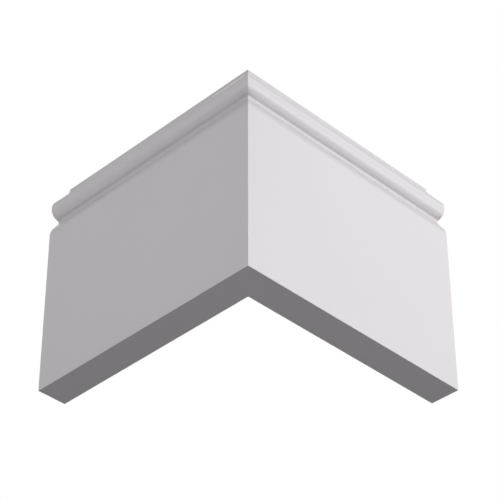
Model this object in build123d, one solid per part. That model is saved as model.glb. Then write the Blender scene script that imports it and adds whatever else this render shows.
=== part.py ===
from build123d import *
import math
import os

# Skirting board round an outside corner: two lengths of one moulding, mitred and glued together.
# The walls are the planes X = 0 and Y = 0. They meet at the origin, at floor level.
# Millimetres, +Z up. The left board runs along -X, and the right board along +Y.

# The board, before its top is moulded
BOARD_HEIGHT = 140.0
BOARD_THICKNESS = 18.0
FACE_RUN = 153.5

# The shoulder, where the plain face rounds over and slopes back to the cove
SHOULDER_HEIGHT = 103.8
SHOULDER_SLOPE = 55.5
SHOULDER_RADIUS = 10.5

# The cove between the shoulder and the bead, with an upright back
COVE_DEPTH = 5.5
COVE_FOOT_RADIUS = 2.4
COVE_HEAD_RADIUS = 1.0

# The bead, an oval of three arcs whose nose is level with the plain face
BEAD_HEIGHT = 119.8
BEAD_DEPTH = 3.9
BEAD_UNDERCUT = 10.0
BEAD_LOWER_RADIUS = 4.5
BEAD_LOWER_TURN = 50.0
BEAD_NOSE_RADIUS = 7.5
BEAD_TOP_RADIUS = 3.1

# The hollow from the top of the bead to the flat top
HOLLOW_RADIUS = 20.2
TOP_LAND = 6.0

WALL_RUN = FACE_RUN - BOARD_THICKNESS

# The section is drawn on the left board's square end: X out from the wall, Y up from the floor
SQUARE_END = Plane(origin=(-WALL_RUN, 0, 0), x_dir=(0, -1, 0), z_dir=(-1, 0, 0))

# The mitre stands on the line from the corner of the walls to the outside corner of the faces
MITRE = Plane(origin=(0, 0, 0), x_dir=(1, -1, 0), z_dir=(1, 1, 0))


class Bead:
    """Centres, turns and ends of the bead's three arcs, on the section."""

    nose_centre = (BOARD_THICKNESS - BEAD_NOSE_RADIUS, BEAD_HEIGHT)
    underside_turn = 90 - BEAD_UNDERCUT
    nose_drop = underside_turn - BEAD_LOWER_TURN
    lower_gap = BEAD_NOSE_RADIUS - BEAD_LOWER_RADIUS
    lower_centre = (
        nose_centre[0] + lower_gap * math.cos(math.radians(nose_drop)),
        nose_centre[1] - lower_gap * math.sin(math.radians(nose_drop)),
    )
    underside = (
        lower_centre[0] + BEAD_LOWER_RADIUS * math.cos(math.radians(underside_turn)),
        lower_centre[1] - BEAD_LOWER_RADIUS * math.sin(math.radians(underside_turn)),
    )
    top_gap = BEAD_NOSE_RADIUS - BEAD_TOP_RADIUS
    nose_rise = math.degrees(math.acos((BEAD_NOSE_RADIUS - BEAD_DEPTH) / top_gap))
    top_centre = (
        BOARD_THICKNESS - BEAD_DEPTH,
        BEAD_HEIGHT + top_gap * math.sin(math.radians(nose_rise)),
    )
    top = (top_centre[0], top_centre[1] + BEAD_TOP_RADIUS)


def cove_corners():
    """Foot and head of the cove's back, where they would be without their rounds."""
    back = BOARD_THICKNESS - COVE_DEPTH
    foot = SHOULDER_HEIGHT + COVE_DEPTH * math.tan(math.radians(SHOULDER_SLOPE))
    head = Bead.underside[1] - (Bead.underside[0] - back) * math.tan(math.radians(BEAD_UNDERCUT))
    return (back, foot), (back, head)


def moulding_section():
    """Closed section of the moulding, on the square end of the left board."""
    with BuildSketch(SQUARE_END) as section:
        with BuildLine():
            # Plain face, shoulder and cove
            FilletPolyline(
                (BOARD_THICKNESS, 0),
                (BOARD_THICKNESS, SHOULDER_HEIGHT),
                *cove_corners(),
                Bead.underside,
                radius=[SHOULDER_RADIUS, COVE_FOOT_RADIUS, COVE_HEAD_RADIUS],
            )

            # Bead, from its underside round the nose to its top
            CenterArc(Bead.lower_centre, BEAD_LOWER_RADIUS, -Bead.underside_turn, BEAD_LOWER_TURN)
            CenterArc(Bead.nose_centre, BEAD_NOSE_RADIUS, -Bead.nose_drop, Bead.nose_drop + Bead.nose_rise)
            CenterArc(Bead.top_centre, BEAD_TOP_RADIUS, Bead.nose_rise, 90 - Bead.nose_rise)

            # Hollow, flat top, back against the wall and flat underside
            RadiusArc(Bead.top, (TOP_LAND, BOARD_HEIGHT), HOLLOW_RADIUS)
            Polyline((TOP_LAND, BOARD_HEIGHT), (0, BOARD_HEIGHT), (0, 0), (BOARD_THICKNESS, 0))
        make_face()
    return section.sketch


def mitred_length():
    """Left board: the section run on past the corner, then sawn off along the mitre."""
    length = extrude(moulding_section(), amount=-(WALL_RUN + 2 * BOARD_THICKNESS))
    return split(length, bisect_by=MITRE, keep=Keep.BOTTOM)


left_board = mitred_length()
left_board.label = "left_board"

right_board = mirror(left_board, about=MITRE)
right_board.label = "right_board"

os.makedirs("parts", exist_ok=True)
for board in (left_board, right_board):
    export_step(board, f"parts/{board.label}.step")
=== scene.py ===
"""Painted boards of a mitred skirting corner, and the plain studio that they are shown in."""

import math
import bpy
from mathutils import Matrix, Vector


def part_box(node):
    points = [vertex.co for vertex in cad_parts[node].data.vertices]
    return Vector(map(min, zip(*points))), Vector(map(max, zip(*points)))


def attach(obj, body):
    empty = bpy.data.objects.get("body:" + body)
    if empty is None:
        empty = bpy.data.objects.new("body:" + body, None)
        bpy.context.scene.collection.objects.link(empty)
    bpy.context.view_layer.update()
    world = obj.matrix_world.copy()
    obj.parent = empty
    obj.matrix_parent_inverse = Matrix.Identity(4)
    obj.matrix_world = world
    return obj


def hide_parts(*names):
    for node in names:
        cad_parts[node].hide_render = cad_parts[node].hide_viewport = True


bl_info = {
    "name": "Mitred Skirting Corner",
    "version": (1, 0, 0),
    "blender": (4, 5, 0),
    "location": "View3D > Sidebar > Skirting",
    "description": "Models two mitred lengths of moulded skirting with eased arrises and white paint",
    "category": "Add Mesh",
}

import bmesh
import bpy
from mathutils import Vector

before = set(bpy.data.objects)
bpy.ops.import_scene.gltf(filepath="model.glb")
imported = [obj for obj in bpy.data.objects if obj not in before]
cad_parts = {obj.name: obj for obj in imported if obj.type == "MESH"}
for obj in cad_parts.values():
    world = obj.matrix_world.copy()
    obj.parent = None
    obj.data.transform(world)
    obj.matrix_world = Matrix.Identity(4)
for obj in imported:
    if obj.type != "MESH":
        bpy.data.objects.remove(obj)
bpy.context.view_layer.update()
LEFT_LOW, LEFT_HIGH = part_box("left_board")

MM = 0.001

# Points closer than this are the same point, and points this close to the mitre plane lie on it
SAME_POINT = 0.001 * MM
ON_MITRE = 0.01 * MM

# The mitre plane stands on the line from the corner of the walls to the outside corner of the faces
MITRE_NORMAL = Vector((1, 1, 0)).normalized()

# Turn of an edge from which it is an arris, least turn of a moulded edge at the mitre, and the turn
# up to which neighbouring faces are shaded as one round
ARRIS_TURN = math.radians(30)
MOULDED_TURN = math.radians(1)
ROUND_TURN = math.radians(28)
ARRIS_SEGMENTS = 4


class MouldingSizes(bpy.types.PropertyGroup):
    """Sizes of the board and of the members moulded on its top."""

    board_height: bpy.props.FloatProperty(
        name="Board Height",
        description="From the underside to the flat top",
        default=LEFT_HIGH.z,
        unit="LENGTH",
    )
    board_thickness: bpy.props.FloatProperty(
        name="Board Thickness",
        description="From the wall to the plain face",
        default=-LEFT_LOW.y,
        unit="LENGTH",
    )
    wall_run: bpy.props.FloatProperty(
        name="Wall Run",
        description="Length of each board along its wall, from the corner to the square end",
        default=-LEFT_LOW.x,
        unit="LENGTH",
    )
    shoulder_height: bpy.props.FloatProperty(
        name="Shoulder Height",
        description="Where the shoulder's slope would meet the plain face without its round",
        default=103.8 * MM,
        unit="LENGTH",
    )
    shoulder_slope: bpy.props.FloatProperty(
        name="Shoulder Slope",
        description="Slope of the shoulder above level",
        default=math.radians(55.5),
        unit="ROTATION",
    )
    shoulder_radius: bpy.props.FloatProperty(
        name="Shoulder Radius",
        description="Round between the plain face and the shoulder's slope",
        default=10.5 * MM,
        unit="LENGTH",
    )
    cove_depth: bpy.props.FloatProperty(
        name="Cove Depth",
        description="From the plain face to the upright back of the cove",
        default=5.5 * MM,
        unit="LENGTH",
    )
    cove_foot_radius: bpy.props.FloatProperty(
        name="Cove Foot Radius",
        description="Hollow between the shoulder's slope and the back of the cove",
        default=2.4 * MM,
        unit="LENGTH",
    )
    cove_head_radius: bpy.props.FloatProperty(
        name="Cove Head Radius",
        description="Hollow between the back of the cove and the underside of the bead",
        default=1.0 * MM,
        unit="LENGTH",
    )
    bead_height: bpy.props.FloatProperty(
        name="Bead Height",
        description="Height of the bead's nose above the floor",
        default=119.8 * MM,
        unit="LENGTH",
    )
    bead_depth: bpy.props.FloatProperty(
        name="Bead Depth",
        description="From the bead's nose back to its highest point",
        default=3.9 * MM,
        unit="LENGTH",
    )
    bead_undercut: bpy.props.FloatProperty(
        name="Bead Undercut",
        description="Slope above level where the bead's underside leaves the cove",
        default=math.radians(10),
        unit="ROTATION",
    )
    bead_lower_radius: bpy.props.FloatProperty(
        name="Bead Lower Radius",
        description="Radius of the bead where its underside turns up to its nose",
        default=4.5 * MM,
        unit="LENGTH",
    )
    bead_lower_turn: bpy.props.FloatProperty(
        name="Bead Lower Turn",
        description="Turn of the bead's lower arc",
        default=math.radians(50),
        unit="ROTATION",
    )
    bead_nose_radius: bpy.props.FloatProperty(
        name="Bead Nose Radius",
        description="Radius of the flatter arc across the bead's nose",
        default=7.5 * MM,
        unit="LENGTH",
    )
    bead_top_radius: bpy.props.FloatProperty(
        name="Bead Top Radius",
        description="Radius to which the bead turns over at its highest point",
        default=3.1 * MM,
        unit="LENGTH",
    )
    hollow_radius: bpy.props.FloatProperty(
        name="Hollow Radius",
        description="Radius of the hollow between the bead and the flat top",
        default=20.2 * MM,
        unit="LENGTH",
    )
    top_land: bpy.props.FloatProperty(
        name="Top Land",
        description="Width of the flat top",
        default=6.0 * MM,
        unit="LENGTH",
    )
    arris: bpy.props.FloatProperty(
        name="Arris",
        description="Radius to which each sharp edge is eased before painting",
        default=0.15 * MM,
        unit="LENGTH",
    )
    arc_step: bpy.props.FloatProperty(
        name="Arc Step",
        description="Largest turn between neighbouring points on an arc of the section",
        default=math.radians(3.5),
        unit="ROTATION",
    )


def polar(centre, radius, angle):
    """Point on the section, out from the wall and up from the floor, at an angle round a centre."""
    return (centre[0] + radius * math.cos(angle), centre[1] + radius * math.sin(angle))


def heading(start, end):
    """Angle of the line between two points of the section."""
    return math.atan2(end[1] - start[1], end[0] - start[0])


def shoulder_and_cove(sizes, underside):
    """Outline from the foot of the plain face, over the shoulder and round the cove, to the bead."""
    thickness = sizes.board_thickness
    back = thickness - sizes.cove_depth
    turn = math.pi / 2 - sizes.shoulder_slope
    face_end = (thickness, sizes.shoulder_height - sizes.shoulder_radius * math.tan(turn / 2))
    foot = sizes.shoulder_height + sizes.cove_depth * math.tan(sizes.shoulder_slope)
    foot_centre = (back + sizes.cove_foot_radius, foot + sizes.cove_foot_radius * math.tan(turn / 2))
    head_turn = math.pi / 2 - sizes.bead_undercut
    head = underside[1] - (underside[0] - back) * math.tan(sizes.bead_undercut)
    head_centre = (
        back + sizes.cove_head_radius,
        head - sizes.cove_head_radius * math.tan(head_turn / 2),
    )
    return [
        ("line", face_end),
        ("arc", (thickness - sizes.shoulder_radius, face_end[1]), turn),
        ("line", polar(foot_centre, sizes.cove_foot_radius, math.pi + turn)),
        ("arc", foot_centre, -turn),
        ("line", (back, head_centre[1])),
        ("arc", head_centre, -head_turn),
        ("line", underside),
    ]


def bead(sizes):
    """Point where the bead's underside starts, its outline of three arcs, and its highest point."""
    nose_centre = (sizes.board_thickness - sizes.bead_nose_radius, sizes.bead_height)
    underside_turn = math.pi / 2 - sizes.bead_undercut
    nose_drop = underside_turn - sizes.bead_lower_turn
    lower_centre = polar(nose_centre, sizes.bead_nose_radius - sizes.bead_lower_radius, -nose_drop)
    top_gap = sizes.bead_nose_radius - sizes.bead_top_radius
    nose_rise = math.acos((sizes.bead_nose_radius - sizes.bead_depth) / top_gap)
    top_centre = polar(nose_centre, top_gap, nose_rise)
    moves = [
        ("arc", lower_centre, sizes.bead_lower_turn),
        ("arc", nose_centre, nose_drop + nose_rise),
        ("arc", top_centre, math.pi / 2 - nose_rise),
    ]
    underside = polar(lower_centre, sizes.bead_lower_radius, -underside_turn)
    return underside, moves, polar(top_centre, sizes.bead_top_radius, math.pi / 2)


def hollow(sizes, start):
    """Outline of the hollow, from the top of the bead to the flat top."""
    end = (sizes.top_land, sizes.board_height)
    half_turn = math.asin(math.dist(start, end) / (2 * sizes.hollow_radius))
    centre = polar(start, sizes.hollow_radius, heading(start, end) + half_turn - math.pi / 2)
    return [("arc", centre, -2 * half_turn)]


def section_moves(sizes):
    """The whole outline as straight lines and arcs, from the foot of the face round to it again."""
    underside, bead_moves, bead_top = bead(sizes)
    return [
        *shoulder_and_cove(sizes, underside),
        *bead_moves,
        *hollow(sizes, bead_top),
        ("line", (0, sizes.board_height)),
        ("line", (0, 0)),
        ("line", (sizes.board_thickness, 0)),
    ]


def on_square_end(sizes, point):
    """A section's point in space, on the left board's square end."""
    return Vector((-sizes.wall_run, -point[0], point[1]))


def select_only(obj):
    """Leaves one object selected and active."""
    bpy.ops.object.select_all(action="DESELECT")
    obj.select_set(True)
    bpy.context.view_layer.objects.active = obj


def draw_section(sizes):
    """Traces the section from a single point by extruding and spinning it, and fills it."""
    point = (sizes.board_thickness, 0)
    bpy.ops.object.select_all(action="DESELECT")
    bpy.ops.mesh.primitive_plane_add(size=MM)
    section = bpy.context.object
    bpy.ops.object.mode_set(mode="EDIT")
    bpy.ops.mesh.merge(type="CENTER")
    bpy.ops.transform.translate(value=on_square_end(sizes, point))
    for kind, place, *turn in section_moves(sizes):
        if kind == "line":
            step = on_square_end(sizes, place) - on_square_end(sizes, point)
            bpy.ops.mesh.extrude_vertices_move(TRANSFORM_OT_translate={"value": step})
            point = place
            continue
        bpy.ops.mesh.spin(
            steps=math.ceil(abs(turn[0]) / sizes.arc_step),
            angle=turn[0],
            center=on_square_end(sizes, place),
            axis=(1, 0, 0),
        )
        point = polar(place, math.dist(place, point), heading(place, point) + turn[0])
    bpy.ops.mesh.select_all(action="SELECT")
    bpy.ops.mesh.remove_doubles(threshold=SAME_POINT)
    bpy.ops.mesh.edge_face_add()
    return section


def run_to_mitre(sizes):
    """Runs the filled section past the corner, and saws the length off along the mitre."""
    past_corner = sizes.wall_run + 2 * sizes.board_thickness
    bpy.ops.mesh.extrude_region_move(TRANSFORM_OT_translate={"value": (past_corner, 0, 0)})
    bpy.ops.mesh.select_all(action="SELECT")
    bpy.ops.mesh.bisect(
        plane_co=(0, 0, 0), plane_no=MITRE_NORMAL, clear_outer=True, threshold=SAME_POINT
    )
    bpy.ops.object.mode_set(mode="OBJECT")


def turn_corner(board):
    """Mirrors the mitred length in the mitre plane, which makes the whole corner one closed shell."""
    bpy.ops.object.empty_add(rotation=(0, 0, math.atan2(MITRE_NORMAL.y, MITRE_NORMAL.x)))
    mitre = bpy.context.object
    select_only(board)
    bpy.ops.object.modifier_add(type="MIRROR")
    mirror = board.modifiers[-1]
    mirror.mirror_object = mitre
    mirror.merge_threshold = ON_MITRE
    bpy.ops.object.modifier_apply(modifier=mirror.name)
    bpy.data.objects.remove(mitre)
    bpy.ops.object.mode_set(mode="EDIT")
    bpy.ops.mesh.select_all(action="SELECT")
    bpy.ops.mesh.normals_make_consistent(inside=False)


def is_arris(edge):
    """True on an outward edge that is sharp, and all the way up the moulding at the mitre."""
    if len(edge.link_faces) != 2:
        return False
    turn = edge.calc_face_angle_signed()
    at_mitre = all(abs(vert.co @ MITRE_NORMAL) < ON_MITRE for vert in edge.verts)
    return turn > ARRIS_TURN or (at_mitre and turn > MOULDED_TURN)


def ease_arrises(sizes, board):
    """Rounds the arrises of the joined corner, as fine sanding does before painting."""
    bpy.ops.mesh.select_all(action="DESELECT")
    mesh = bmesh.from_edit_mesh(board.data)
    for edge in mesh.edges:
        if is_arris(edge):
            edge.select = True
    bmesh.update_edit_mesh(board.data)
    bpy.ops.mesh.bevel(
        offset=sizes.arris, segments=ARRIS_SEGMENTS, profile=0.5, clamp_overlap=False
    )
    bpy.ops.object.mode_set(mode="OBJECT")


def saw_off(corner, name, left):
    """Copy of the joined corner that keeps only the board on one side of the mitre."""
    select_only(corner)
    bpy.ops.object.duplicate()
    board = bpy.context.object
    board.name = name
    board.data.name = name
    bpy.ops.object.mode_set(mode="EDIT")
    bpy.ops.mesh.select_all(action="SELECT")
    bpy.ops.mesh.bisect(
        plane_co=(0, 0, 0),
        plane_no=MITRE_NORMAL,
        use_fill=True,
        clear_outer=left,
        clear_inner=not left,
        threshold=SAME_POINT,
    )
    bpy.ops.object.mode_set(mode="OBJECT")
    return board


def smooth_rounds(board):
    """Smooth shading over the rounds, with flat faces kept flat."""
    select_only(board)
    bpy.ops.object.shade_smooth_by_angle(angle=ROUND_TURN)
    bpy.ops.object.modifier_add(type="WEIGHTED_NORMAL")
    weighted = board.modifiers[-1]
    weighted.keep_sharp = True
    bpy.ops.object.modifier_apply(modifier=weighted.name)


class PaintFinish(bpy.types.PropertyGroup):
    """Colours, gloss and texture of the paint."""

    topcoat: bpy.props.FloatVectorProperty(
        name="Topcoat",
        description="Colour of the satin topcoat on the face, moulding and top",
        default=(0.75, 0.72, 0.75),
        subtype="COLOR",
        min=0,
        max=1,
    )
    # The primer is a real coat, set darker than the topcoat so that its colour also paints in part of the
    # shade on the underside
    primer_with_painted_shade: bpy.props.FloatVectorProperty(
        name="Primer",
        description="Colour of the flat primer on the back, underside and sawn ends",
        default=(0.66, 0.63, 0.66),
        subtype="COLOR",
        min=0,
        max=1,
    )
    topcoat_roughness: bpy.props.FloatProperty(
        name="Topcoat Roughness",
        description="Roughness of the satin topcoat",
        default=0.42,
        subtype="FACTOR",
    )
    primer_roughness: bpy.props.FloatProperty(
        name="Primer Roughness",
        description="Roughness of the flat primer",
        default=0.7,
        subtype="FACTOR",
    )
    specular_level: bpy.props.FloatProperty(
        name="Specular Level",
        description="How much light the paint mirrors straight on, where 0.5 stands for 4 per cent",
        default=0.4,
        subtype="FACTOR",
    )
    peel_height: bpy.props.FloatProperty(
        name="Peel Height",
        description="Height of the fine dimples that the sprayed topcoat dries with",
        default=0.006 * MM,
        unit="LENGTH",
    )
    line_height: bpy.props.FloatProperty(
        name="Line Height",
        description="Height of the lengthwise lines that the moulding cutters leave under the paint",
        default=0.004 * MM,
        unit="LENGTH",
    )
    nap_height: bpy.props.FloatProperty(
        name="Nap Height",
        description="Height of the fibres that stand up in the primer",
        default=0.03 * MM,
        unit="LENGTH",
    )


def new_group(name, inputs, outputs):
    """Empty shader node group with its sockets, and its input and output nodes."""
    group = bpy.data.node_groups.new(name, "ShaderNodeTree")
    for socket_name, kind, value in inputs:
        socket = group.interface.new_socket(socket_name, in_out="INPUT", socket_type=f"NodeSocket{kind}")
        socket.default_value = value
    for socket_name, kind in outputs:
        group.interface.new_socket(socket_name, in_out="OUTPUT", socket_type=f"NodeSocket{kind}")
    return group, group.nodes.new("NodeGroupInput"), group.nodes.new("NodeGroupOutput")


def math_node(tree, operation, *values):
    """Math node whose inputs are numbers or other nodes' sockets."""
    node = tree.nodes.new("ShaderNodeMath")
    node.operation = operation
    for socket, value in zip(node.inputs, values):
        if isinstance(value, bpy.types.NodeSocket):
            tree.links.new(value, socket)
        else:
            socket.default_value = value
    return node.outputs[0]


def noise_node(tree, place, scale, detail):
    """Noise from -0.5 to 0.5 at the given places."""
    node = tree.nodes.new("ShaderNodeTexNoise")
    tree.links.new(place, node.inputs["Vector"])
    node.inputs["Detail"].default_value = detail
    if isinstance(scale, bpy.types.NodeSocket):
        tree.links.new(scale, node.inputs["Scale"])
    else:
        node.inputs["Scale"].default_value = scale
    return math_node(tree, "SUBTRACT", node.outputs["Fac"], 0.5)


# The cutters' lines are long along the board and fine up it, and the slow changes are a few cm wide
LINE_SCALE = (5, 5, 900)
CLOUD_SCALE = 14


def coat_group():
    """Coat of paint: dimples, lengthwise lines, and slow changes of tone and gloss."""
    group, given, result = new_group(
        "Coat of Paint",
        [
            ("Color", "Color", (0.8, 0.8, 0.8, 1)),
            ("Tone Change", "Float", 0.02),
            ("Roughness", "Float", 0.5),
            ("Gloss Change", "Float", 0.05),
            ("Grain Scale", "Float", 700),
            ("Grain Height", "Float", 0.006),
            ("Line Height", "Float", 0.004),
        ],
        [("Color", "Color"), ("Roughness", "Float"), ("Height", "Float")],
    )
    place = group.nodes.new("ShaderNodeTexCoord").outputs["Object"]
    stretch = group.nodes.new("ShaderNodeMapping")
    stretch.inputs["Scale"].default_value = LINE_SCALE
    group.links.new(place, stretch.inputs["Vector"])
    grain = noise_node(group, place, given.outputs["Grain Scale"], 2)
    lines = noise_node(group, stretch.outputs["Vector"], 1, 2)
    cloud = noise_node(group, place, CLOUD_SCALE, 3)

    grain_part = math_node(group, "MULTIPLY", grain, given.outputs["Grain Height"])
    line_part = math_node(group, "MULTIPLY", lines, given.outputs["Line Height"])
    height = math_node(group, "ADD", grain_part, line_part)
    group.links.new(height, result.inputs["Height"])

    sheen = math_node(group, "ADD", cloud, math_node(group, "MULTIPLY", lines, 0.5))
    sheen = math_node(group, "MULTIPLY", sheen, given.outputs["Gloss Change"])
    group.links.new(math_node(group, "ADD", given.outputs["Roughness"], sheen), result.inputs["Roughness"])

    tone = math_node(group, "MULTIPLY_ADD", cloud, given.outputs["Tone Change"], 1.0)
    toned = group.nodes.new("ShaderNodeVectorMath")
    toned.operation = "SCALE"
    group.links.new(given.outputs["Color"], toned.inputs["Vector"])
    group.links.new(tone, toned.inputs["Scale"])
    group.links.new(toned.outputs["Vector"], result.inputs["Color"])
    return group


def paint(name, coat, specular_level, values):
    """Paint whose colour, roughness and fine relief come from the coat group, with its own values."""
    material = bpy.data.materials.new(name)
    material.use_nodes = True
    tree = material.node_tree
    shader = tree.nodes["Principled BSDF"]
    layer = tree.nodes.new("ShaderNodeGroup")
    layer.node_tree = coat
    for socket_name, value in values.items():
        layer.inputs[socket_name].default_value = value
    relief = tree.nodes.new("ShaderNodeBump")
    relief.inputs["Distance"].default_value = MM
    shader.inputs["Specular IOR Level"].default_value = specular_level
    tree.links.new(layer.outputs["Color"], shader.inputs["Base Color"])
    tree.links.new(layer.outputs["Roughness"], shader.inputs["Roughness"])
    tree.links.new(layer.outputs["Height"], relief.inputs["Height"])
    tree.links.new(relief.outputs["Normal"], shader.inputs["Normal"])
    return material


def mix_paints(finish):
    """The satin topcoat, and the flat primer under it that shows where no topcoat is needed, whose darker
    colour also paints in part of the underside's shade.
    """
    coat = coat_group()
    topcoat = paint(
        "satin_topcoat",
        coat,
        finish.specular_level,
        {
            "Color": (*finish.topcoat, 1),
            "Tone Change": 0.012,
            "Roughness": finish.topcoat_roughness,
            "Gloss Change": 0.06,
            "Grain Scale": 700,
            "Grain Height": finish.peel_height / MM,
            "Line Height": finish.line_height / MM,
        },
    )
    # Primer paint whose darker colour partly stands in for the shade on the underside
    primer_with_painted_shade = paint(
        "flat_primer_with_painted_shade",
        coat,
        finish.specular_level,
        {
            "Color": (*finish.primer_with_painted_shade, 1),
            "Tone Change": 0.03,
            "Roughness": finish.primer_roughness,
            "Gloss Change": 0.08,
            "Grain Scale": 2200,
            "Grain Height": finish.nap_height / MM,
            "Line Height": 0,
        },
    )
    return topcoat, primer_with_painted_shade


# Sides of both boards that keep their primer: the underside, the backs, the square ends and the mitre. The
# primer's darker colour is partly painted shade
PRIMED_SIDES = (Vector((0, 0, -1)), Vector((0, 1, 0)), Vector((-1, 0, 0)), MITRE_NORMAL, -MITRE_NORMAL)

# A face belongs to a side when the cosine between their normals is over this
SAME_SIDE = 0.999


def paint_board(board, topcoat, primer_with_painted_shade):
    """Topcoat on all that shows in a room, and primer on the sides that meet wall, floor or board, where
    its darker colour paints part of the shade.
    """
    board.data.materials.append(topcoat)
    board.data.materials.append(primer_with_painted_shade)
    select_only(board)
    bpy.ops.object.mode_set(mode="EDIT")
    bpy.ops.mesh.select_mode(type="FACE")
    bpy.ops.mesh.select_all(action="DESELECT")
    mesh = bmesh.from_edit_mesh(board.data)
    for face in mesh.faces:
        face.select = any(face.normal @ side > SAME_SIDE for side in PRIMED_SIDES)
    bmesh.update_edit_mesh(board.data)
    board.active_material_index = 1
    bpy.ops.object.material_slot_assign()
    bpy.ops.mesh.select_mode(type="VERT")
    bpy.ops.object.mode_set(mode="OBJECT")


class SKIRTING_OT_boards(bpy.types.Operator):
    """Model the two mitred boards and give them their paint"""

    bl_idname = "skirting.boards"
    bl_label = "Mitred Boards"
    bl_options = {"REGISTER", "UNDO"}

    def execute(self, context):
        sizes = context.scene.skirting_sizes
        finish = context.scene.skirting_paint
        corner = draw_section(sizes)
        run_to_mitre(sizes)
        turn_corner(corner)
        ease_arrises(sizes, corner)
        topcoat, primer_with_painted_shade = mix_paints(finish)
        for side in ("left", "right"):
            board = saw_off(corner, f"{side}_painted_board", side == "left")
            paint_board(board, topcoat, primer_with_painted_shade)
            smooth_rounds(board)
            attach(board, "root")
            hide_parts(f"{side}_board")
        bpy.data.objects.remove(corner)
        return {"FINISHED"}


class StudioStage(bpy.types.PropertyGroup):
    """Settings of the stage's camera."""

    lens: bpy.props.FloatProperty(
        name="Lens",
        description="Focal length on a 36 mm wide sensor",
        default=144.4,
    )
    azimuth: bpy.props.FloatProperty(
        name="Azimuth",
        description="Direction of the camera round the corner, from -Y towards +X",
        default=math.radians(44.96),
        unit="ROTATION",
    )
    elevation: bpy.props.FloatProperty(
        name="Elevation",
        description="Height of the camera above level, negative as it looks up from below",
        default=math.radians(-37.02),
        unit="ROTATION",
    )
    roll: bpy.props.FloatProperty(
        name="Roll",
        description="Turn of the camera about its own axis",
        default=math.radians(-0.12),
        unit="ROTATION",
    )
    distance: bpy.props.FloatProperty(
        name="Distance",
        description="From the camera to the point that it looks at",
        default=0.9547,
        unit="LENGTH",
    )


CAMERA_TARGET = Vector((18.66, -17.34, 9.11)) * MM


def outward(azimuth, elevation):
    """Direction away from the corner, by its angle round from -Y towards +X and above level."""
    flat = math.cos(elevation)
    return Vector((math.sin(azimuth) * flat, -math.cos(azimuth) * flat, math.sin(elevation)))


def add_camera(stage):
    """Camera at the photograph's place, below the corner and in front of it."""
    back = outward(stage.azimuth, stage.elevation)
    bpy.ops.object.camera_add(location=CAMERA_TARGET + back * stage.distance)
    camera = bpy.context.object
    camera.rotation_mode = "QUATERNION"
    camera.rotation_quaternion = (-back).to_track_quat("-Z", "Y")
    camera.rotation_mode = "XYZ"
    camera.rotation_euler.rotate_axis("Z", stage.roll)
    camera.data.lens = stage.lens
    camera.data.sensor_width = 36
    bpy.context.scene.camera = camera


# Each lamp's direction round the corner and above level, in degrees, and its power in watts
LAMPS = {
    "right_softbox": (120, 0, 28),
    "right_back_softbox": (150, 0, 23),
    "right_high_softbox": (133, 35, 11.5),
    "right_low_softbox": (60, -15, 6),
    "left_softbox": (-22, 0, 17.5),
    "left_high_softbox": (-40, 35, 6),
    "front_low_softbox": (60, -35, 7),
    "under_softbox": (38, -65, 9),
    "back_softbox": (225, 45, 50),
}
LAMP_SIZE = 0.8
LAMP_DISTANCE = 2.6
LAMP_AIM = Vector((0, 0, 70)) * MM


def add_lamp(name, azimuth, elevation, power):
    """Square lamp that faces the middle of the corner."""
    away = outward(math.radians(azimuth), math.radians(elevation))
    bpy.ops.object.light_add(type="AREA", location=LAMP_AIM + away * LAMP_DISTANCE)
    lamp = bpy.context.object
    lamp.name = name
    lamp.rotation_mode = "QUATERNION"
    lamp.rotation_quaternion = away.to_track_quat("Z", "Y")
    lamp.data.energy = power
    lamp.data.size = LAMP_SIZE


# The surround's own light on the paint, where 1 is white
SURROUND_LIGHT = 0.02


def white_surround():
    """White for the camera and for reflections, and almost no light of its own on the paint."""
    world = bpy.data.worlds.new("white_surround")
    world.use_nodes = True
    tree = world.node_tree
    rays = tree.nodes.new("ShaderNodeLightPath")
    seen = math_node(tree, "MAXIMUM", rays.outputs["Is Camera Ray"], rays.outputs["Is Glossy Ray"])
    seen = math_node(tree, "MAXIMUM", seen, rays.outputs["Is Transmission Ray"])
    background = tree.nodes["Background"]
    background.inputs["Color"].default_value = (1, 1, 1, 1)
    tree.links.new(math_node(tree, "MAXIMUM", seen, SURROUND_LIGHT), background.inputs["Strength"])
    return world


# The floor glows a little, so that it is white where no shadow falls, and fades between two shares
# of its radius
FLOOR_RADIUS = 0.75
FLOOR_DROP = 0.5 * MM
FLOOR_COLOUR = (0.9, 0.9, 0.9, 1)
FLOOR_GLOW = 0.72
FADE_START = 0.35
FADE_END = 0.98


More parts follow.
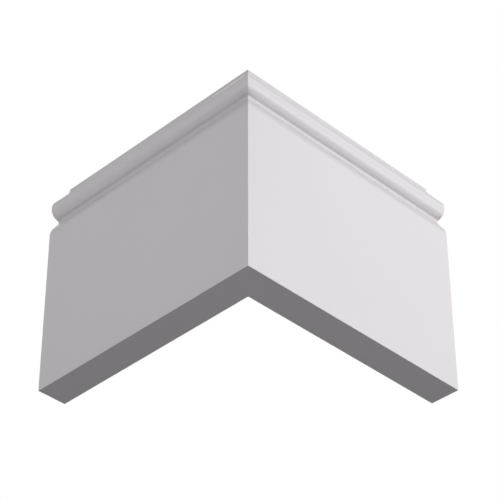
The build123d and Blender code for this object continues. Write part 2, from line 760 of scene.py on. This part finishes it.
def floor_material():
    """Pale floor that shows shadows from above, fades out at its rim and is clear from below."""
    material = bpy.data.materials.new("pale_floor")
    material.use_nodes = True
    tree = material.node_tree
    tree.nodes.remove(tree.nodes["Principled BSDF"])
    matt = tree.nodes.new("ShaderNodeBsdfDiffuse")
    matt.inputs["Color"].default_value = FLOOR_COLOUR
    glow = tree.nodes.new("ShaderNodeEmission")
    glow.inputs["Strength"].default_value = FLOOR_GLOW
    lit = tree.nodes.new("ShaderNodeAddShader")
    clear = tree.nodes.new("ShaderNodeBsdfTransparent")
    shown = tree.nodes.new("ShaderNodeMixShader")
    tree.links.new(matt.outputs[0], lit.inputs[0])
    tree.links.new(glow.outputs[0], lit.inputs[1])

    place = tree.nodes.new("ShaderNodeTexCoord").outputs["Object"]
    reach = tree.nodes.new("ShaderNodeVectorMath")
    reach.operation = "LENGTH"
    tree.links.new(place, reach.inputs[0])
    rim = tree.nodes.new("ShaderNodeMapRange")
    rim.interpolation_type = "SMOOTHSTEP"
    tree.links.new(reach.outputs["Value"], rim.inputs["Value"])
    rim.inputs["From Min"].default_value = FADE_START * FLOOR_RADIUS
    rim.inputs["From Max"].default_value = FADE_END * FLOOR_RADIUS
    below = tree.nodes.new("ShaderNodeNewGeometry").outputs["Backfacing"]
    hidden = math_node(tree, "MAXIMUM", below, rim.outputs["Result"])
    tree.links.new(hidden, shown.inputs["Fac"])
    tree.links.new(lit.outputs[0], shown.inputs[1])
    tree.links.new(clear.outputs[0], shown.inputs[2])
    tree.links.new(shown.outputs[0], tree.nodes["Material Output"].inputs["Surface"])
    return material


def add_floor():
    """Round floor just under the boards, which keeps no light from the lamps below it."""
    bpy.ops.object.select_all(action="DESELECT")
    bpy.ops.mesh.primitive_circle_add(
        vertices=96, radius=FLOOR_RADIUS, fill_type="NGON", location=(0, 0, -FLOOR_DROP)
    )
    bpy.ops.object.transform_apply(location=True)
    floor = bpy.context.object
    floor.name = "studio_floor"
    floor.data.materials.append(floor_material())
    floor.visible_diffuse = False
    floor.visible_glossy = False
    floor.visible_shadow = False


class SKIRTING_OT_stage(bpy.types.Operator):
    """Set the camera, the lamps, the floor and the white surround"""

    bl_idname = "skirting.stage"
    bl_label = "Studio Stage"
    bl_options = {"REGISTER", "UNDO"}

    def execute(self, context):
        add_camera(context.scene.skirting_stage)
        for name, values in LAMPS.items():
            add_lamp(name, *values)
        add_floor()
        context.scene.world = white_surround()
        context.scene.view_settings.view_transform = "Standard"
        return {"FINISHED"}


class SKIRTING_PT_panel(bpy.types.Panel):
    """Sizes, paint and stage of the skirting corner"""

    bl_idname = "SKIRTING_PT_panel"
    bl_label = "Skirting Corner"
    bl_space_type = "VIEW_3D"
    bl_region_type = "UI"
    bl_category = "Skirting"

    def draw(self, context):
        for group in (context.scene.skirting_sizes, context.scene.skirting_paint):
            box = self.layout.box()
            for name in group.__annotations__:
                box.prop(group, name)
        self.layout.operator(SKIRTING_OT_boards.bl_idname)
        box = self.layout.box()
        for name in StudioStage.__annotations__:
            box.prop(context.scene.skirting_stage, name)
        self.layout.operator(SKIRTING_OT_stage.bl_idname)


CLASSES = (
    MouldingSizes,
    PaintFinish,
    StudioStage,
    SKIRTING_OT_boards,
    SKIRTING_OT_stage,
    SKIRTING_PT_panel,
)


def register():
    for cls in CLASSES:
        bpy.utils.register_class(cls)
    bpy.types.Scene.skirting_sizes = bpy.props.PointerProperty(type=MouldingSizes)
    bpy.types.Scene.skirting_paint = bpy.props.PointerProperty(type=PaintFinish)
    bpy.types.Scene.skirting_stage = bpy.props.PointerProperty(type=StudioStage)


def unregister():
    del bpy.types.Scene.skirting_stage
    del bpy.types.Scene.skirting_paint
    del bpy.types.Scene.skirting_sizes
    for cls in reversed(CLASSES):
        bpy.utils.unregister_class(cls)


def main():
    register()
    bpy.ops.skirting.boards()
    bpy.ops.skirting.stage()


if __name__ == "__main__":
    main()
